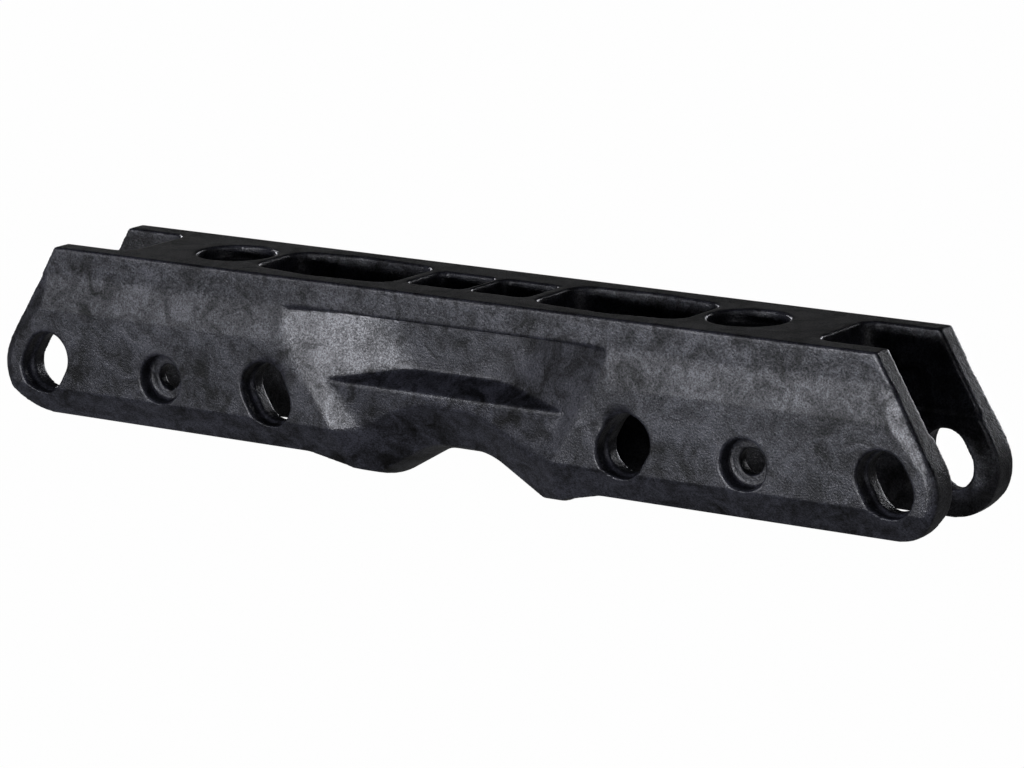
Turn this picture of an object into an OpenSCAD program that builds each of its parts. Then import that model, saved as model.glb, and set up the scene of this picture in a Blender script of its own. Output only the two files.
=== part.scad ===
// Inline skate frame: a one-piece moulding with two side walls, a deck and a grind scoop.
// X runs along the skate with the front at +X, Y across it and Z up.
// The origin is on the ground plane under the middle of the frame.

/* [Frame] */
// Length of the deck's top line
deck_len = 262.2; // [250:0.1:290]
// Height from the foot tips to the deck top
frame_h = 54.8; // [54:0.1:56.5]
// Width over the upper bands
band_w = 40.5; // [38:0.1:41.5]
// Width over the raised side plateaus
plateau_w = 43; // [42.5:0.1:48]
// Height of the upright band under the deck edge
band_h = 8.2; // [6:0.1:9]
// Height of the sloping facet under the band
facet_h = 9.6; // [8:0.1:11]
// Height of the plateau
plateau_h = 22.7; // [21:0.1:24]
// Height of the bevel along the bottom of the rails
bevel_h = 8.4; // [7:0.1:9]
// How far the bevel leans in over its height
bevel_in = 5.5; // [4:0.1:5.8]
// Lean of the ends away from upright, in degrees
end_lean = 30.3; // [26:0.1:34]
// Radius of the lower end corners
corner_r = 14; // [10:0.1:16]

/* [Walls and deck] */
// Clear width between the side walls
channel_w = 27; // [25:0.1:28]
// Thickness of the deck
deck_t = 8.2; // [7:0.1:10]
// Distance of each deck end from the middle
deck_end_x = 110; // [108:0.1:114]
// Radius where the deck ends meet the walls
well_r = 4.5; // [2:0.1:8]

/* [Deck windows] */
// Distance from the middle to the inner end of a wheel window
window_in_x = 23; // [22.8:0.1:26]
// Distance from the middle to the widest place of a wheel window
window_mid_x = 47.5; // [42:0.1:54]
// Distance from the middle to the outer end of a wheel window
window_out_x = 68.7; // [62:0.1:69]
// Width of a wheel window at its inner end
window_in_w = 24.6; // [20:0.1:25]
// Width of a wheel window at its widest place
window_mid_w = 28.4; // [27:0.1:29]
// Width of a wheel window at its outer end
window_out_w = 22.6; // [20:0.1:26]
// Corner radius of the wheel windows
window_r = 6; // [3:0.1:8]
// Thickness of the web between the two middle pockets
mid_web_t = 2; // [1.6:0.1:4]
// Distance from the middle to the outer end of a middle pocket
pocket_out_x = 19.3; // [16:0.1:19.6]
// Width of the middle pockets
pocket_w = 18; // [14:0.1:18.4]
// Depth of the middle pockets below the deck top
pocket_depth = 36; // [20:0.1:37]
// Corner radius of the middle pockets
pocket_r = 2.8; // [1:0.1:4]

/* [Boot mounts] */
// Distance between the two boot bolts
boot_spacing = 165; // [160:0.1:170]
// Diameter of the round recess for the boot boss
boot_recess_d = 22; // [18:0.1:24]
// Depth of the round recess
boot_recess_depth = 4; // [2:0.1:4.5]
// How far each bolt can shift forwards or backwards from its middle place
boot_shift = 3.5; // [1:0.1:4]
// Thread diameter of the boot bolts
bolt_d = 6; // [5:0.1:6.4]
// Gap round a bolt in its holes
bolt_gap = 0.3; // [0.2:0.05:0.5]
// Length of a bolt under its head
bolt_len = 16; // [15:0.1:17.5]
// Diameter of a bolt head
bolt_head_d = 10; // [9:0.1:11]
// Height of a bolt head
bolt_head_h = 4; // [3.5:0.1:6]
// Size across the flats of the hex socket
hex_size = 4; // [3:0.1:5]
// Depth of the hex socket
hex_depth = 2.5; // [1.5:0.1:3]
// How far a loosened bolt hangs below its tight place
bolt_drop = 10.2; // [9.8:0.1:14]
// Length of a mount plate
plate_len = 26; // [24:0.1:28]
// Width of a mount plate
plate_w = 16; // [13:0.1:20]
// Thickness of a mount plate
plate_t = 2; // [1.5:0.1:3]
// Corner radius of a mount plate
plate_r = 3; // [1:0.1:5]

/* [Axle slots] */
// Distance of the outer axle slots from the middle
outer_slot_x = 134.7; // [130:0.1:136]
// Distance of the inner axle slots from the middle
inner_slot_x = 57.4; // [54:0.1:60]
// Depth of all axle centres below the deck top
axle_drop = 33.4; // [31:0.1:35]
// Width across a slot's outer recess
slot_w = 14.3; // [12:0.1:15.5]
// Distance between the two centres of a slot
slot_travel = 3.9; // [2:0.1:5]
// Tilt of the slots from the level, in degrees
slot_tilt = 60; // [50:1:70]
// Depth of the outer recess
slot_depth = 4.5; // [3:0.1:5.5]
// Width of the lip that the through slot leaves
slot_lip = 0.85; // [0.5:0.05:1.5]
// Chamfer round the recess rims
rim_chamfer = 0.3; // [0.1:0.05:0.5]
// Thickness of the pads round the slots inside the walls
pad_t = 1.3; // [0.5:0.1:2]
// Length of the inner slots' pads
pad_len = 26; // [22:0.1:28]
// Depth of the pads' upper edge below the deck top
pad_top = 21.6; // [19:0.1:22.5]
// Depth of the pads' lower edge below the deck top
pad_bottom = 44; // [43:0.1:45]
// Height of the slope at a pad's upper and lower edges
pad_slope = 3.5; // [1:0.1:4]

/* [Cross holes] */
// Distance of the cross holes from the middle
cross_x = 93.65; // [90:0.05:97]
// Diameter of the through hole
cross_d = 7; // [6:0.1:9]
// Diameter of the head recess
cross_head_d = 13.4; // [12:0.1:15]
// Depth of the head recess
cross_head_depth = 4.5; // [3:0.1:5.5]

/* [Grind scoop] */
// Half the scoop's length at the bottom of the band
scoop_half = 57; // [53:0.05:59]
// Lean of the scoop's ends from upright, in degrees
scoop_lean = 35.4; // [31:0.1:39]
// Angle between a scoop flank and the plateau, in degrees
flank_angle = 15; // [12:0.5:16]
// Depth of the scoop floor below the plateau
scoop_depth = 8.7; // [6:0.1:9]
// Radius that blends the flanks into the floor
scoop_blend_r = 60; // [10:1:90]
// Depth of the ledge's outer edge below the deck top
ledge_drop = 27; // [25:0.1:29]
// How far the ledge's outer edge lies in from the plateau
ledge_in = 1.6; // [1:0.1:3]
// Rise of the ledge towards the floor, in degrees
ledge_angle = 31; // [20:1:35]
// Lean of the beam face under the ledge, in degrees
beam_lean = 4; // [0:0.5:20]

/* [Arch and feet] */
// Depth of the arch's crown below the deck top, along the middle line
arch_drop = 45.2; // [43:0.1:46]
// Half the length of the arch's crown before its corner radius
arch_half = 9; // [6:0.1:12]
// Radius of the arch's corners
arch_r = 20; // [8:0.5:24]
// Slope of the arch's sides from the level, in degrees
arch_slope = 30.5; // [28:0.1:34]
// How far the underside rises from its middle line to the bevels
crown_rise = 2.6; // [1:0.1:3.5]
// Width of the crowned underside between the bevels
crown_w = 23.4; // [21:0.1:25]
// Thickness of the plate that runs from the middle block down each side of the arch
arch_plate_t = 6.5; // [5:0.1:8]
// Distance from the middle to the outer end of a foot's tip
foot_tip_x = 30.5; // [29.5:0.1:33]
// Distance from the middle to the bend in a foot's outer side
foot_out_x = 34.5; // [33.5:0.1:37]
// Depth of that bend below the deck top
foot_out_drop = 52; // [51:0.1:53]
// Distance from the middle to where the foot runs into the rail
foot_end_x = 47; // [44:0.1:52]
// Radius of the foot tips
foot_r = 3; // [1:0.1:3.5]

/* [End chamfers] */
// Distance from the middle to the end of the plateau's top line
chamfer_x = 135.6; // [133:0.1:137]
// Lean of the plateau's end from upright, in degrees
chamfer_lean = 41; // [36:0.5:46]
// Angle between the end chamfer and the plateau, in degrees
chamfer_angle = 15.2; // [12:0.1:20]
// Width of the chamfer round the lower end corners
corner_chamfer = 2.1; // [1:0.1:3]
// Depth of the chamfer round the lower end corners
corner_chamfer_in = 1.1; // [0.5:0.1:2]

/* [Hidden] */
$fn = 64;
// Reach of the cutting shapes past the surfaces that they cut
past = 5;
// Number of steps from the middle line of the underside to its bevel
crown_steps = 5;
// Number of steps from the middle of the arch to its straight flank
bend_steps = 18;

half_deck = deck_len / 2;
half_band = band_w / 2;
half_plateau = plateau_w / 2;
half_channel = channel_w / 2;
plateau_top = band_h + facet_h;
plateau_bottom = plateau_top + plateau_h;
rail_bottom = plateau_bottom + bevel_h;
bevel_rate = bevel_in / bevel_h;
end_rate = tan(end_lean);
// Centre of the lower end corner, whose arc meets both the end and the bottom line
corner_z = -(rail_bottom - corner_r);
corner_x = half_deck - end_rate * corner_z - corner_r / cos(end_lean);
frame_end_x = corner_x + corner_r;
scoop_rate = tan(scoop_lean);
flank_rate = tan(flank_angle);
beam_rate = tan(beam_lean);
slot_through_w = slot_w - 2 * slot_lip;
bolt_hole_d = bolt_d + 2 * bolt_gap;
bolt_head_z = -deck_t - plate_t - bolt_drop;

black = [0.13, 0.13, 0.14];
zinc = [0.72, 0.73, 0.75];
dark_steel = [0.25, 0.25, 0.27];

function unit(v) = v / norm(v);

// Points of the arc of radius r that rounds the corner p1 between p0 and p2
function corner_arc(p0, p1, p2, r) =
    let (
        u = unit(p0 - p1),
        v = unit(p2 - p1),
        half = acos(u * v) / 2,
        centre = p1 + unit(u + v) * r / sin(half),
        a = p1 + u * r / tan(half) - centre,
        b = p1 + v * r / tan(half) - centre,
        from = atan2(a.y, a.x),
        turn = (atan2(b.y, b.x) - from + 540) % 360 - 180,
        steps = ceil(abs(turn) * sqrt(r) / 24)
    )
    [for (i = [0:steps]) centre + r * [cos(from + turn * i / steps), sin(from + turn * i / steps)]];

// Outline of corners [x, y, radius] with each corner rounded by its own radius
function rounded(corners) =
    let (n = len(corners), last = n - 1, flat = [for (c = corners) [c.x, c.y]])
    [for (i = [0:last])
        each (corners[i].z == 0
            ? [flat[i]]
            : corner_arc(flat[(i + last) % n], flat[i], flat[(i + 1) % n], corners[i].z))];

// Half outline mirrored to the other side of x = 0, from one end round to the other
function both_sides(half) =
    concat(half, [for (i = [len(half) - 1:-1:0]) [-half[i].x, half[i].y, half[i].z]]);

// Outline in X and Z extruded across the frame from y0 to y1
module across(y0, y1) {
    translate([0, y1, 0])
        rotate([90, 0, 0])
            linear_extrude(y1 - y0) children();
}

// Outline in Y and Z extruded along the frame from x0 to x1
module along(x0, x1) {
    translate([x0, 0, 0])
        rotate([90, 0, 90])
            linear_extrude(x1 - x0) children();
}

// Copies its child to both sides of the frame
module each_side() {
    children();
    mirror([0, 1, 0]) children();
}

// Copies its child to both ends of the frame
module each_end() {
    children();
    mirror([1, 0, 0]) children();
}

// Side view of the frame, with its top line at z = 0
module side_outline() {
    half = [
        [half_deck, 0, 0],
        [half_deck + end_rate * rail_bottom, -rail_bottom, corner_r],
        [foot_end_x, -rail_bottom, 8],
        [foot_out_x, -foot_out_drop, 3],
        [foot_tip_x, -frame_h, foot_r],
        [0, -frame_h, 0]
    ];
    polygon(rounded(both_sides(half)));
}

// Cross-section of the frame, before the channel is cut
module section_outline() {
    edge_drop = frame_h - crown_rise;
    edge_y = half_plateau - (edge_drop - plateau_bottom) * bevel_rate;
    half = concat(
        [
            [half_band, 0],
            [half_band, -band_h],
            [half_plateau, -plateau_top],
            [half_plateau, -plateau_bottom]
        ],
        [for (i = [crown_steps:-1:0]) [edge_y * i / crown_steps, -frame_h + crown_lift(i / crown_steps)]]
    );
    polygon(concat(half, [for (i = [len(half) - 1:-1:0]) [-half[i].x, half[i].y]]));
}

// Space between the walls of one half, from the middle block to the open end
module channel() {
    end_x = frame_end_x + past;
    narrow = window_in_w / 2;
    outline = [
        [window_in_x, -narrow, window_r],
        [window_mid_x, -half_channel, 0],
        [end_x, -half_channel, 0],
        [end_x, half_channel, 0],
        [window_mid_x, half_channel, 0],
        [window_in_x, narrow, window_r]
    ];
    difference() {
        translate([0, 0, -frame_h - past])
            linear_extrude(frame_h + past - deck_t) polygon(rounded(outline));
        across(-half_plateau, half_plateau) arch_plate_outline();
    }
}

// Side view of the solid between the arch and the top of its sloping side plate
module arch_plate_outline() {
    rise = arch_plate_t / cos(arch_slope);
    end_x = arch_half + (frame_h + past - arch_drop + rise) / tan(arch_slope);
    polygon([
        [arch_half, -arch_drop + rise],
        [end_x, -frame_h - past],
        [arch_half, -frame_h - past]
    ]);
}

// Open well past the deck end
module well() {
    end_x = frame_end_x + past;
    outline = [
        [deck_end_x, -half_channel, well_r],
        [end_x, -half_channel, 0],
        [end_x, half_channel, 0],
        [deck_end_x, half_channel, well_r]
    ];
    translate([0, 0, -deck_t - past])
        linear_extrude(deck_t + 2 * past) polygon(rounded(outline));
}

// Window through the deck over an inner wheel
module window() {
    outline = [
        [window_in_x, -window_in_w / 2, window_r],
        [window_mid_x, -window_mid_w / 2, 0],
        [window_out_x, -window_out_w / 2, window_r],
        [window_out_x, window_out_w / 2, window_r],
        [window_mid_x, window_mid_w / 2, 0],
        [window_in_x, window_in_w / 2, window_r]
    ];
    translate([0, 0, -deck_t])
        linear_extrude(deck_t + past) polygon(rounded(outline));
}

// Blind pocket beside the middle web
module pocket() {
    outline = [
        [mid_web_t / 2, -pocket_w / 2, pocket_r],
        [pocket_out_x, -pocket_w / 2, pocket_r],
        [pocket_out_x, pocket_w / 2, pocket_r],
        [mid_web_t / 2, pocket_w / 2, pocket_r]
    ];
    translate([0, 0, -pocket_depth])
        linear_extrude(pocket_depth + past) polygon(rounded(outline));
}

// Round recess for the boot boss, with a slot through its floor for the bolt
module boot_seat() {
    translate([boot_spacing / 2, 0, -boot_recess_depth])
        cylinder(h = boot_recess_depth + past, d = boot_recess_d);
    for (shift = [-boot_shift, boot_shift])
        translate([boot_spacing / 2 + shift, 0, -deck_t - past])
            cylinder(h = deck_t + past, d = bolt_hole_d);
    translate([boot_spacing / 2 - boot_shift, -bolt_hole_d / 2, -deck_t - past])
        cube([2 * boot_shift, bolt_hole_d, deck_t + past]);
}

// Slot of width w with centres slot_travel apart, from y0 to y1, lying level
module slot(w, y0, y1) {
    for (shift = [-slot_travel / 2, slot_travel / 2])
        translate([shift, y1, 0])
            rotate([90, 0, 0])
                cylinder(h = y1 - y0, d = w);
    translate([-slot_travel / 2, y0, -w / 2])
        cube([slot_travel, y1 - y0, w]);
}

// Chamfer of a slot's rim at y = face, opening towards -Y
module slot_rim(w, face) {
    wide = w / 2 + rim_chamfer;
    for (shift = [-slot_travel / 2, slot_travel / 2])
        translate([shift, face + rim_chamfer, 0])
            rotate([90, 0, 0])
                cylinder(h = 2 * rim_chamfer, r1 = w / 2, r2 = wide + rim_chamfer);
    along(-slot_travel / 2, slot_travel / 2)
        polygon([
            [face + rim_chamfer, -w / 2],
            [face - rim_chamfer, -wide - rim_chamfer],
            [face - rim_chamfer, wide + rim_chamfer],
            [face + rim_chamfer, w / 2]
        ]);
}

// One axle slot through both walls: recess, lip, through slot and rim chamfers
module axle_slot(x, tilt) {
    translate([x, 0, -axle_drop])
        rotate([0, -tilt, 0]) {
            slot(slot_through_w, -half_plateau - past, half_plateau + past);
            each_side() {
                slot(slot_w, -half_plateau - past, -half_plateau + slot_depth);
                slot_rim(slot_w, -half_plateau);
            }
        }
}

// One cross hole through both walls with its two head recesses
module cross_hole(x) {
    face = -half_plateau;
    translate([x, 0, -axle_drop]) {
        rotate([90, 0, 0])
            cylinder(h = plateau_w + 2 * past, d = cross_d, center = true);
        each_side() {
            translate([0, face + cross_head_depth, 0])
                rotate([90, 0, 0])
                    cylinder(h = cross_head_depth + past, d = cross_head_d);
            translate([0, face + rim_chamfer, 0])
                rotate([90, 0, 0])
                    cylinder(
                        h = 2 * rim_chamfer,
                        d1 = cross_head_d,
                        d2 = cross_head_d + 4 * rim_chamfer
                    );
        }
    }
}

// Plan of the scoop on the -Y side at depth drop, as a thin slab
module scoop_plan(drop) {
    reach = scoop_half - (drop - band_h) * scoop_rate;
    floor_half = max(reach - scoop_depth / flank_rate, 0.05);
    out = -half_plateau - past;
    edge = floor_half + (scoop_depth + past) / flank_rate;
    radius = min(scoop_blend_r, floor_half * 0.9 / tan(flank_angle / 2));
    translate([0, 0, -drop - 0.01])
        linear_extrude(0.01)
            polygon(rounded([
                [-edge, out, 0],
                [edge, out, 0],
                [floor_half, scoop_depth - half_plateau, radius],
                [-floor_half, scoop_depth - half_plateau, radius]
            ]));
}

// Grind scoop on the -Y side, stopped by the sloping ledge and the beam face below it
module scoop() {
    low = plateau_bottom + (ledge_in + (plateau_bottom - ledge_drop) * beam_rate) / (bevel_rate - beam_rate);
    edge_y = ledge_in - half_plateau;
    out = -half_plateau - past - 1;
    intersection() {
        hull() {
            scoop_plan(band_h);
            scoop_plan(low);
        }
        along(-half_deck, half_deck)
            polygon([
                [out, 0],
                [0, 0],
                [0, -ledge_drop - edge_y * tan(ledge_angle)],
                [edge_y, -ledge_drop],
                [edge_y + (low + 1 - ledge_drop) * beam_rate, -low - 1],
                [out, -low - 1]
            ]);
    }
}

// Rise of the crowned underside at a share of its half width from the middle line
function crown_lift(share) = crown_rise * share ^ 2;

// Height of the arch at x, measured where it is grow further out than on the middle line
function arch_height(x, grow) =
    let (
        r = arch_r + grow,
        tangent = r * tan(arch_slope / 2),
        bend = arch_half + grow * tan(arch_slope / 2),
        from_arc = abs(x) - (bend - tangent),
        past_arc = from_arc - r * sin(arch_slope),
        drop = arch_drop - grow
    )
    from_arc <= 0 ? -drop
        : past_arc <= 0 ? -drop - r + sqrt(r ^ 2 - from_arc ^ 2)
        : -drop - r * (1 - cos(arch_slope)) - past_arc * tan(arch_slope);

// Height of the underside round the arch at x and y
function underside(x, y) =
    let (edge = crown_w / 2)
    abs(y) <= edge
        ? arch_height(x, 0) + crown_lift(abs(y) / edge)
        : arch_height(x, crown_rise + (abs(y) - edge) / bevel_rate);

// Space under the arch, with the crowned underside and both bevels as its upper surface
module arch_space() {
    edge = crown_w / 2;
    out = half_plateau + 1;
    near = [for (i = [-crown_steps:crown_steps]) edge * i / crown_steps];
    ys = concat([-out], near, [out]);
    reach = foot_end_x + 30;
    bend_reach = arch_half + arch_r * tan(arch_slope / 2) + 6;
    xs = concat([-reach], [for (i = [-bend_steps:bend_steps]) bend_reach * i / bend_steps], [reach]);
    rows = len(ys);
    columns = len(xs);
    last = (rows - 1) * columns;
    top = [for (y = ys) each [for (x = xs) [x, y, underside(x, y)]]];
    base = [for (p = [[-reach, -out], [reach, -out], [reach, out], [-reach, out]]) [p.x, p.y, -frame_h - 30]];
    b = len(top);
    polyhedron(
        points = concat(top, base),
        faces = concat(
            [for (r = [0:rows - 2]) each [for (c = [0:columns - 2])
                let (a = r * columns + c) each [
                    [a, a + columns, a + 1],
                    [a + 1, a + columns, a + columns + 1]
                ]]],
            [
                [for (c = [0:columns - 1]) c, b + 1, b],
                [for (c = [columns - 1:-1:0]) last + c, b + 3, b + 2],
                [for (r = [rows - 1:-1:0]) r * columns, b, b + 3],
                [for (r = [0:rows - 1]) r * columns + columns - 1, b + 2, b + 1],
                [b, b + 1, b + 2, b + 3]
            ]
        )
    );
}

// Chamfer at the +X end of the plateau on the -Y side, below the band
module end_chamfer() {
    size = 60;
    intersection() {
        translate([chamfer_x, -half_plateau, -plateau_top])
            rotate([0, -chamfer_lean, 0])
                rotate([0, 0, chamfer_angle])
                    translate([0, -size, -size])
                        cube([size, size, 2 * size]);
        translate([chamfer_x - size, -half_plateau - past, -frame_h])
            cube([2 * size, half_plateau, frame_h - band_h]);
    }
}

// Chamfer round the lower +X corner on the -Y side
module corner_cut() {
    rim = corner_r - corner_chamfer;
    rate = corner_chamfer_in / corner_chamfer;
    intersection() {
        translate([corner_x, -half_plateau, corner_z])
            rotate([90, 0, 0])
                rotate_extrude($fn = 96)
                    polygon([[rim, 0], [rim + 4, -4 * rate], [rim + 8, 0], [rim + 8, 1], [rim, 1]]);
        translate([corner_x, -half_plateau - past, corner_z])
            rotate([0, 90 - end_lean, 0])
                cube([40, 2 * past, 40]);
    }
}

// Pad round an axle slot on the inside of the -Y wall, with sloping upper and lower edges
module slot_pad(x0, x1) {
    wall = -half_channel - 1;
    face = -half_channel + pad_t;
    along(x0, x1)
        polygon([
            [wall, -pad_top + pad_slope * 0.3],
            [face, -pad_top],
            [face, -pad_bottom + pad_slope],
            [wall, -pad_bottom - 1]
        ]);
}

module pads() {
    each_end() each_side() {
        slot_pad(inner_slot_x - pad_len / 2, inner_slot_x + pad_len / 2);
        slot_pad(outer_slot_x - pad_len / 2 + 1, frame_end_x);
    }
}

module outer_form() {
    intersection() {
        across(-half_plateau - 1, half_plateau + 1) side_outline();
        along(-frame_end_x - 1, frame_end_x + 1) section_outline();
    }
}

module frame_body() {
    color(black)
        translate([0, 0, frame_h])
            difference() {
                intersection() {
                    union() {
                        difference() {
                            outer_form();
                            each_end() channel();
                        }
                        pads();
                    }
                    outer_form();
                }
                each_end() {
                    well();
                    window();
                    pocket();
                    boot_seat();
                }
                each_side() {
                    scoop();
                    each_end() {
                        end_chamfer();
                        corner_cut();
                    }
                }
                arch_space();
                for (side = [-1, 1]) {
                    axle_slot(side * outer_slot_x, -side * slot_tilt);
                    axle_slot(side * inner_slot_x, side * slot_tilt);
                    cross_hole(side * cross_x);
                }
            }
}

// Plate under the deck at the boot bolt whose place along X is given
module mount_plate(x) {
    half_l = plate_len / 2;
    half_w = plate_w / 2;
    outline = [
        [-half_l, -half_w, plate_r],
        [half_l, -half_w, plate_r],
        [half_l, half_w, plate_r],
        [-half_l, half_w, plate_r]
    ];
    color(zinc)
        translate([x, 0, frame_h - deck_t - plate_t])
            difference() {
                linear_extrude(plate_t) polygon(rounded(outline));
                translate([0, 0, -past])
                    cylinder(h = plate_t + 2 * past, d = bolt_hole_d);
            }
}

// Socket screw with its head down, hanging loose at its lowest place
module mount_bolt(x) {
    color(dark_steel)
        translate([x, 0, frame_h + bolt_head_z])
            difference() {
                union() {
                    translate([0, 0, -bolt_head_h])
                        cylinder(h = bolt_head_h, d = bolt_head_d);
                    cylinder(h = bolt_len - 0.8, d = bolt_d);
                    translate([0, 0, bolt_len - 0.8])
                        cylinder(h = 0.8, d1 = bolt_d, d2 = bolt_d - 1.6);
                }
                translate([0, 0, -bolt_head_h - past])
                    cylinder(h = past + hex_depth, d = hex_size / cos(30), $fn = 6);
            }
}

frame_body();
mount_plate(boot_spacing / 2);  // front_mount_plate
mount_plate(-boot_spacing / 2);  // rear_mount_plate
mount_bolt(boot_spacing / 2);  // front_mount_bolt
mount_bolt(-boot_spacing / 2);  // rear_mount_bolt
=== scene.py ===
"""Inline skate frame: materials, soft moulded edges, fasteners, stage, light and camera."""
import math

import bpy
import numpy as np
from mathutils import Matrix, Vector


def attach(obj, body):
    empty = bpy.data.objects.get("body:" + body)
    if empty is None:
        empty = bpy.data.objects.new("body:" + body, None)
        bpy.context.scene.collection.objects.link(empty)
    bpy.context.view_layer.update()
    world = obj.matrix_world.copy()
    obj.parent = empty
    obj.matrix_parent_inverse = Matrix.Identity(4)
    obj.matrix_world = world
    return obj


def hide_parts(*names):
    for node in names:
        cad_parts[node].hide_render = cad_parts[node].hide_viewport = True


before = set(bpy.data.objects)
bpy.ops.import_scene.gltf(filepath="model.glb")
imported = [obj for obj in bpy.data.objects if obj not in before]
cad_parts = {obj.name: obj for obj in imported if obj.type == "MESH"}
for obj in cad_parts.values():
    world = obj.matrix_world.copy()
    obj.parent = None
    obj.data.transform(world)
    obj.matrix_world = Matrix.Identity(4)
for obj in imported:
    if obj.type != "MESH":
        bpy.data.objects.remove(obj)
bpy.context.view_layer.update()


MM = 0.001


# Shader helpers

class Nodes:
    """Short calls for building one material's node tree."""

    def __init__(self, name):
        self.material = bpy.data.materials.new(name)
        self.material.use_nodes = True
        self.tree = self.material.node_tree
        self.tree.nodes.clear()

    def add(self, kind, **settings):
        node = self.tree.nodes.new(kind)
        for key, value in settings.items():
            setattr(node, key, value)
        return node

    def put(self, socket, value):
        if isinstance(value, bpy.types.NodeSocket):
            self.tree.links.new(value, socket)
        else:
            socket.default_value = value

    def coordinates(self, scale=(1, 1, 1)):
        where = self.add("ShaderNodeTexCoord")
        mapping = self.add("ShaderNodeMapping")
        self.put(mapping.inputs["Vector"], where.outputs["Object"])
        self.put(mapping.inputs["Scale"], scale)
        return mapping.outputs["Vector"]

    def noise(self, vector, scale, detail=4.0, roughness=0.5, distortion=0.0):
        node = self.add("ShaderNodeTexNoise")
        self.put(node.inputs["Vector"], vector)
        self.put(node.inputs["Scale"], scale)
        self.put(node.inputs["Detail"], detail)
        self.put(node.inputs["Roughness"], roughness)
        self.put(node.inputs["Distortion"], distortion)
        return node.outputs["Fac"]

    def voronoi(self, vector, scale):
        node = self.add("ShaderNodeTexVoronoi")
        self.put(node.inputs["Vector"], vector)
        self.put(node.inputs["Scale"], scale)
        return node.outputs["Distance"]

    def remap(self, value, low, high, out_low=0.0, out_high=1.0):
        node = self.add("ShaderNodeMapRange")
        node.clamp = True
        for name, v in (("Value", value), ("From Min", low), ("From Max", high),
                        ("To Min", out_low), ("To Max", out_high)):
            self.put(node.inputs[name], v)
        return node.outputs["Result"]

    def math(self, operation, a, b=0.0):
        node = self.add("ShaderNodeMath", operation=operation)
        self.put(node.inputs[0], a)
        self.put(node.inputs[1], b)
        return node.outputs[0]

    def mix(self, fac, a, b):
        node = self.add("ShaderNodeMix", data_type="RGBA")
        self.put(node.inputs[0], fac)
        self.put(node.inputs[6], (*a, 1) if isinstance(a, tuple) else a)
        self.put(node.inputs[7], (*b, 1) if isinstance(b, tuple) else b)
        return node.outputs[2]

    def bump(self, height, strength, distance, normal=None):
        node = self.add("ShaderNodeBump")
        self.put(node.inputs["Height"], height)
        self.put(node.inputs["Strength"], strength)
        self.put(node.inputs["Distance"], distance)
        if normal is not None:
            self.put(node.inputs["Normal"], normal)
        return node.outputs["Normal"]

    def surface(self, **inputs):
        shader = self.add("ShaderNodeBsdfPrincipled")
        for name, value in inputs.items():
            self.put(shader.inputs[name.replace("_", " ")], value)
        out = self.add("ShaderNodeOutputMaterial")
        self.put(out.inputs["Surface"], shader.outputs[0])
        return self.material


# Materials

PLASTIC_DARK = (0.0012, 0.0012, 0.0014)
PLASTIC_PALE = (0.034, 0.035, 0.046)
CLOUD_SHARE = 0.42
PATCH_SHARE = 0.58


def moulded_plastic():
    """Black glass-filled moulding: flow clouds, pale patches, fine grain and an uneven sheen."""
    n = Nodes("moulded_plastic")
    where = n.coordinates()
    streaked = n.coordinates(scale=(0.8, 1, 1.1))
    clouds = n.noise(streaked, scale=55, detail=8, roughness=0.64, distortion=0.5)
    patches = n.noise(where, scale=150, detail=8, roughness=0.70, distortion=0.9)
    flecks = n.noise(where, scale=2100, detail=3, roughness=0.60)
    grain = n.noise(where, scale=3600, detail=2, roughness=0.6)
    pores = n.voronoi(where, scale=1700)
    cloud = n.remap(clouds, 0.38, 0.66)
    patch = n.remap(patches, 0.40, 0.62)
    haze = n.math("ADD", n.math("MULTIPLY", cloud, CLOUD_SHARE),
                  n.math("MULTIPLY", patch, PATCH_SHARE))
    speck = n.remap(flecks, 0.36, 0.64, 0.40, 1.65)
    tone = n.math("MULTIPLY", haze, speck)
    colour = n.mix(tone, PLASTIC_DARK, PLASTIC_PALE)
    rough = n.math("ADD", n.remap(haze, 0.0, 1.0, 0.39, 0.30),
                   n.remap(flecks, 0.3, 0.7, 0.07, -0.06))
    height = n.math("ADD", n.math("MULTIPLY", grain, 0.7), n.math("MULTIPLY", pores, 0.5))
    shine = n.math("MULTIPLY", n.remap(haze, 0.0, 1.0, 0.22, 0.68),
                   n.remap(flecks, 0.34, 0.66, 0.62, 1.42))
    fine = n.bump(height, strength=0.65, distance=0.00012)
    ripples = n.math("ADD", patches, n.math("MULTIPLY", flecks, 0.4))
    waves = n.math("ADD", n.math("MULTIPLY", clouds, 1.6), ripples)
    normal = n.bump(waves, strength=0.25, distance=0.0005, normal=fine)
    return n.surface(Base_Color=colour, Roughness=rough, Normal=normal,
                     Specular_IOR_Level=shine)


ZINC_DULL = (0.60, 0.62, 0.64)
ZINC_BRIGHT = (0.76, 0.77, 0.78)


def zinc_steel():
    """Zinc-plated steel with a faint spangle and rolling marks."""
    n = Nodes("zinc_steel")
    where = n.coordinates()
    rolled = n.coordinates(scale=(1, 18, 18))
    spangle = n.voronoi(where, scale=260)
    brushed = n.noise(rolled, scale=160, detail=4, roughness=0.6)
    colour = n.mix(n.remap(spangle, 0.0, 0.8), ZINC_DULL, ZINC_BRIGHT)
    rough = n.remap(brushed, 0.3, 0.7, 0.26, 0.42)
    normal = n.bump(brushed, strength=0.25, distance=0.00005)
    return n.surface(Base_Color=colour, Metallic=1.0, Roughness=rough, Normal=normal)


OXIDE_BLACK = (0.09, 0.09, 0.10)
OXIDE_WORN = (0.28, 0.28, 0.29)


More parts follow.
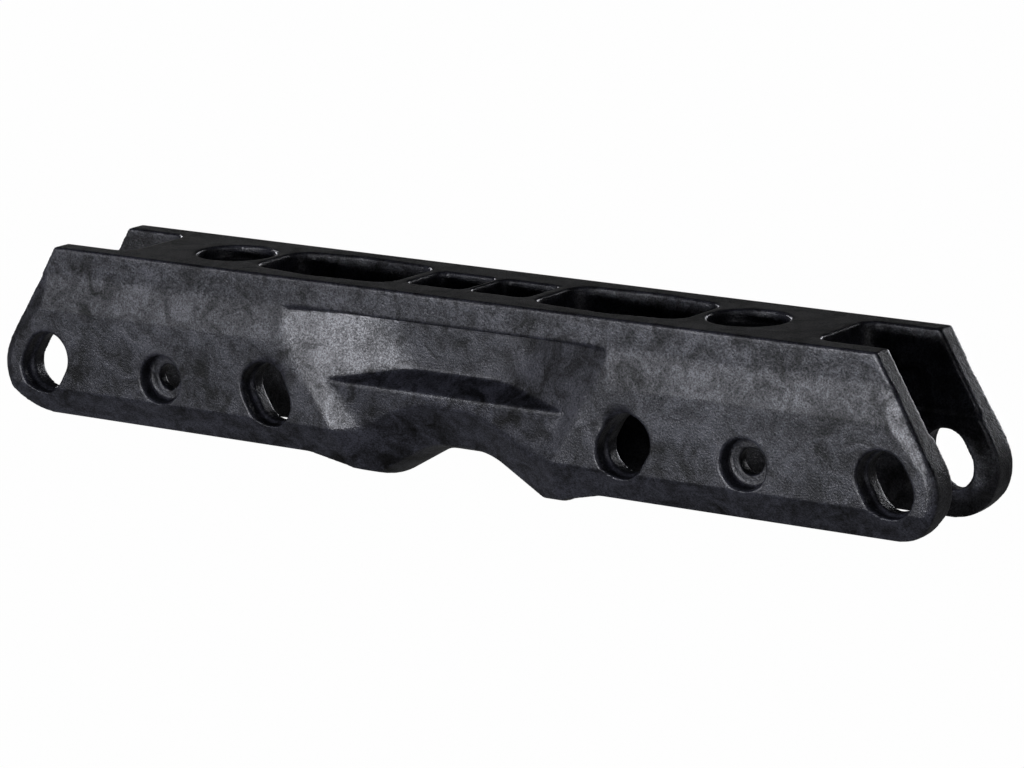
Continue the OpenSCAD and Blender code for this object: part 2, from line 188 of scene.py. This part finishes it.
def dark_steel():
    """Black oxide steel with worn, paler spots."""
    n = Nodes("dark_steel")
    where = n.coordinates()
    wear = n.noise(where, scale=420, detail=5, roughness=0.65)
    fine = n.noise(where, scale=2400, detail=3, roughness=0.5)
    colour = n.mix(n.remap(wear, 0.45, 0.75), OXIDE_BLACK, OXIDE_WORN)
    rough = n.remap(fine, 0.3, 0.7, 0.32, 0.50)
    normal = n.bump(fine, strength=0.3, distance=0.00004)
    return n.surface(Base_Color=colour, Metallic=1.0, Roughness=rough, Normal=normal)


FLOOR_COLOUR = (0.25, 0.25, 0.25, 1)
FLOOR_MIRRORED = 0.08
FLOOR_WHITE_SHARE = 0.99


def stage_white():
    """Pale floor that shows white to the camera, dimmer in reflections, with a faint shadow."""
    n = Nodes("stage_white")
    path = n.add("ShaderNodeLightPath")
    mirrored = n.math("MAXIMUM", path.outputs["Is Glossy Ray"], path.outputs["Is Transmission Ray"])
    reflected = n.math("MULTIPLY", mirrored, FLOOR_MIRRORED)
    seen = n.math("MAXIMUM", path.outputs["Is Camera Ray"], reflected)
    lit = n.add("ShaderNodeBsdfDiffuse")
    n.put(lit.inputs["Color"], FLOOR_COLOUR)
    white = n.add("ShaderNodeEmission")
    n.put(white.inputs["Color"], (1, 1, 1, 1))
    n.put(white.inputs["Strength"], 1.0)
    share = n.math("MULTIPLY", seen, FLOOR_WHITE_SHARE)
    blend = n.add("ShaderNodeMixShader")
    n.put(blend.inputs[0], share)
    n.put(blend.inputs[1], lit.outputs[0])
    n.put(blend.inputs[2], white.outputs[0])
    out = n.add("ShaderNodeOutputMaterial")
    n.put(out.inputs["Surface"], blend.outputs[0])
    return n.material


PLASTIC = moulded_plastic()
ZINC = zinc_steel()
DARK = dark_steel()


def dress(name, material):
    """Give a CAD node its material and return its object."""
    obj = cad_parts[name]
    obj.data.materials.clear()
    obj.data.materials.append(material)
    return obj


WELD_GAP = 0.00002
SHARP_ANGLE = 40


def soften(obj, width):
    """Round the edges of a CAD node with modifiers and smooth its shading."""
    weld = obj.modifiers.new("weld", "WELD")
    weld.merge_threshold = WELD_GAP
    bevel = obj.modifiers.new("bevel", "BEVEL")
    bevel.width = width
    bevel.segments = 2
    bevel.limit_method = "ANGLE"
    bevel.angle_limit = math.radians(SHARP_ANGLE)
    bevel.use_clamp_overlap = True
    bevel.harden_normals = True
    obj.data.shade_smooth()


# The moulding: the CAD body's own surface, remeshed finely so that its edges can be eased

VOXEL = 0.5 * MM
EASE = 0.5
EASE_ROUNDS = 2
SOFT_ROUNDS = 60

# The soft places, in mm. SIDE says how far out they begin, and how far out they are full.
# The others give a centre, a core and a fade. VALLEY_X has no centre: its line leans with height.
SIDE = (14.5, 16.5)
CORNER_X = (51.0, 6.0, 4.0)
CORNER_Z = (34.0, 5.5, 4.0)
VALLEY_X = (3.0, 2.5)
VALLEY_Z = (17.5, 6.0, 2.5)
VALLEY_POINT = (30.8, 20.8)
VALLEY_SLOPE = 0.542
VALLEY_SHARE = 0.7
CREST_X = (0.0, 30.0, 6.0)
CREST_Z = (9.0, 5.0, 2.5)
CREST_SHARE = 0.12


def finished_mesh(obj, name):
    """Mesh of obj after its modifiers, as new mesh data."""
    graph = bpy.context.evaluated_depsgraph_get()
    mesh = bpy.data.meshes.new_from_object(obj.evaluated_get(graph))
    mesh.name = name
    return mesh


def remeshed(node, name, size):
    """Voxel copy of a CAD node's mesh."""
    raw = bpy.data.objects.new(name + "_raw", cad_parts[node].data.copy())
    bpy.context.scene.collection.objects.link(raw)
    skin = raw.modifiers.new("skin", "REMESH")
    skin.mode = "VOXEL"
    skin.voxel_size = size
    skin.use_smooth_shade = True
    bpy.context.view_layer.update()
    mesh = finished_mesh(raw, name)
    bpy.data.objects.remove(raw)
    return mesh


def step(value, low, high):
    """Smooth step of an array from 0 at low to 1 at high."""
    t = np.clip((value - low) / (high - low), 0, 1)
    return t * t * (3 - 2 * t)


def near(value, centre, core, fade):
    """1 within core of centre, falling to 0 over fade."""
    return 1 - step(np.abs(value - centre), core, core + fade)


def relax(points, edges, weight, rounds):
    """Move each point part of the way to the mean of its neighbours, in place, rounds times."""
    a, b = edges[:, 0], edges[:, 1]
    count = np.bincount(a, minlength=len(points)) + np.bincount(b, minlength=len(points))
    count = np.maximum(count, 1)
    for _ in range(rounds):
        for axis in range(3):
            line = points[:, axis]
            total = (np.bincount(a, weights=line[b], minlength=len(line))
                     + np.bincount(b, weights=line[a], minlength=len(line)))
            line += weight * (total / count - line)


def moulding():
    """Remeshed body whose edges are eased a little, and more where the moulding is soft."""
    mesh = remeshed("frame_body", "moulding", VOXEL)
    points = np.empty(len(mesh.vertices) * 3, dtype=np.float64)
    mesh.vertices.foreach_get("co", points)
    points = points.reshape(-1, 3)
    edges = np.empty(len(mesh.edges) * 2, dtype=np.int64)
    mesh.edges.foreach_get("vertices", edges)
    edges = edges.reshape(-1, 2)
    relax(points, edges, np.full(len(points), EASE), EASE_ROUNDS)
    x, y, z = np.abs(points[:, 0]) / MM, np.abs(points[:, 1]) / MM, points[:, 2] / MM
    outside = step(y, *SIDE)
    corner = near(x, *CORNER_X) * near(z, *CORNER_Z)
    point_x, point_z = VALLEY_POINT
    valley_x = point_x + VALLEY_SLOPE * (z - point_z)
    valley = near(x, valley_x, *VALLEY_X) * near(z, *VALLEY_Z)
    crest = near(x, *CREST_X) * near(z, *CREST_Z)
    soft = outside * np.maximum.reduce([corner, VALLEY_SHARE * valley, CREST_SHARE * crest])
    relax(points, edges, EASE * soft, SOFT_ROUNDS)
    mesh.vertices.foreach_set("co", points.reshape(-1))
    mesh.update()
    mesh.materials.clear()
    mesh.materials.append(PLASTIC)
    mesh.shade_smooth()
    obj = bpy.data.objects.new("moulding", mesh)
    bpy.context.scene.collection.objects.link(obj)
    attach(obj, "frame")
    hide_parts("frame_body")


PLATE_EDGE = 0.25 * MM
BOLT_EDGE = 0.2 * MM

dress("frame_body", PLASTIC)
moulding()
for end in ("front", "rear"):
    soften(dress(end + "_mount_plate", ZINC), PLATE_EDGE)
    soften(dress(end + "_mount_bolt", DARK), BOLT_EDGE)


# Stage

def mesh_object(name, vertices, faces, material):
    """New object from vertices and faces, in one material."""
    mesh = bpy.data.meshes.new(name)
    mesh.from_pydata(vertices, [], faces)
    mesh.materials.append(material)
    obj = bpy.data.objects.new(name, mesh)
    bpy.context.scene.collection.objects.link(obj)
    return obj


FLOOR_HALF = 12.0
floor = mesh_object(
    "floor",
    [(-FLOOR_HALF, -FLOOR_HALF, 0), (FLOOR_HALF, -FLOOR_HALF, 0),
     (FLOOR_HALF, FLOOR_HALF, 0), (-FLOOR_HALF, FLOOR_HALF, 0)],
    [(0, 1, 2, 3)], stage_white())

# World: a white horizon that fades to a dim ceiling, all of it dimmer off the camera's rays
HORIZON_WHITE = 0.085
CEILING_FROM = 0.145
CEILING_LIGHT = 0.03
WORLD_MIRRORED = 0.35
world = bpy.data.worlds.new("studio")
world.use_nodes = True
bpy.context.scene.world = world
tree = world.node_tree
tree.nodes.clear()
direction = tree.nodes.new("ShaderNodeTexCoord")
parts = tree.nodes.new("ShaderNodeSeparateXYZ")
tree.links.new(direction.outputs["Generated"], parts.inputs[0])
fade = tree.nodes.new("ShaderNodeMapRange")
tree.links.new(parts.outputs["Z"], fade.inputs["Value"])
for key, value in (("From Min", HORIZON_WHITE), ("From Max", CEILING_FROM),
                   ("To Min", 1.0), ("To Max", CEILING_LIGHT)):
    fade.inputs[key].default_value = value
rays = tree.nodes.new("ShaderNodeLightPath")
seen = tree.nodes.new("ShaderNodeMath")
seen.operation = "MAXIMUM"
tree.links.new(rays.outputs["Is Camera Ray"], seen.inputs[0])
seen.inputs[1].default_value = WORLD_MIRRORED
strength = tree.nodes.new("ShaderNodeMath")
strength.operation = "MULTIPLY"
tree.links.new(fade.outputs["Result"], strength.inputs[0])
tree.links.new(seen.outputs[0], strength.inputs[1])
background = tree.nodes.new("ShaderNodeBackground")
background.inputs["Color"].default_value = (1, 1, 1, 1)
tree.links.new(strength.outputs[0], background.inputs["Strength"])
world_out = tree.nodes.new("ShaderNodeOutputWorld")
tree.links.new(background.outputs[0], world_out.inputs["Surface"])


# Light

LAMP_COLOUR = (0.93, 0.94, 1.0)
LAMP_AIM = Vector((0, 0, 0.03))

# Name, azimuth and elevation in degrees, distance and size in metres, power in watts
LAMPS = (
    ("key", -90, 3, 1.7, (0.32, 0.20), 19),
    ("fill", -120, 3, 1.3, (0.55, 0.25), 4.3),
    ("rake", -24, 9, 1.2, (0.30, 0.24), 0.8),
    ("top", -95, 72, 1.5, (1.0, 0.7), 0.35),
    ("back", 88, 6, 1.5, (0.5, 0.4), 6),
    ("back_left", 150, 6, 1.5, (0.4, 0.4), 6),
)


def softbox(name, azimuth, elevation, distance, size, power):
    """Rectangular lamp that looks at the object from a direction in degrees."""
    lamp = bpy.data.lights.new(name, "AREA")
    lamp.shape = "RECTANGLE"
    lamp.size, lamp.size_y = size
    lamp.energy = power
    lamp.color = LAMP_COLOUR
    obj = bpy.data.objects.new(name, lamp)
    a = math.radians(azimuth)
    e = math.radians(elevation)
    offset = Vector((math.cos(a) * math.cos(e), math.sin(a) * math.cos(e), math.sin(e))) * distance
    obj.location = LAMP_AIM + offset
    obj.rotation_euler = (-offset).to_track_quat("-Z", "Y").to_euler()
    bpy.context.scene.collection.objects.link(obj)


for lamp_row in LAMPS:
    softbox(*lamp_row)


# Camera

FRAME_HEIGHT = 54.8
CAMERA_AT = Vector((670.28, -998.78, 241.38 + FRAME_HEIGHT)) * MM
VIEW_RIGHT = Vector((0.83436, 0.55120, -0.00423))
VIEW_DOWN = Vector((0.11679, -0.18428, -0.97591))
VIEW_AHEAD = Vector((-0.53871, 0.81377, -0.21813))
SENSOR_WIDTH = 36
FOCAL_LENGTH = 160.875
NEAREST = 0.05
FARTHEST = 60
camera_data = bpy.data.cameras.new("camera")
camera_data.sensor_width = SENSOR_WIDTH
camera_data.lens = FOCAL_LENGTH
camera_data.clip_start = NEAREST
camera_data.clip_end = FARTHEST
camera = bpy.data.objects.new("camera", camera_data)
turn = Matrix((VIEW_RIGHT, -VIEW_DOWN, -VIEW_AHEAD)).transposed()
camera.matrix_world = Matrix.Translation(CAMERA_AT) @ turn.to_4x4()
bpy.context.scene.collection.objects.link(camera)
bpy.context.scene.camera = camera
bpy.context.scene.view_settings.view_transform = "Standard"

bpy.context.view_layer.update()
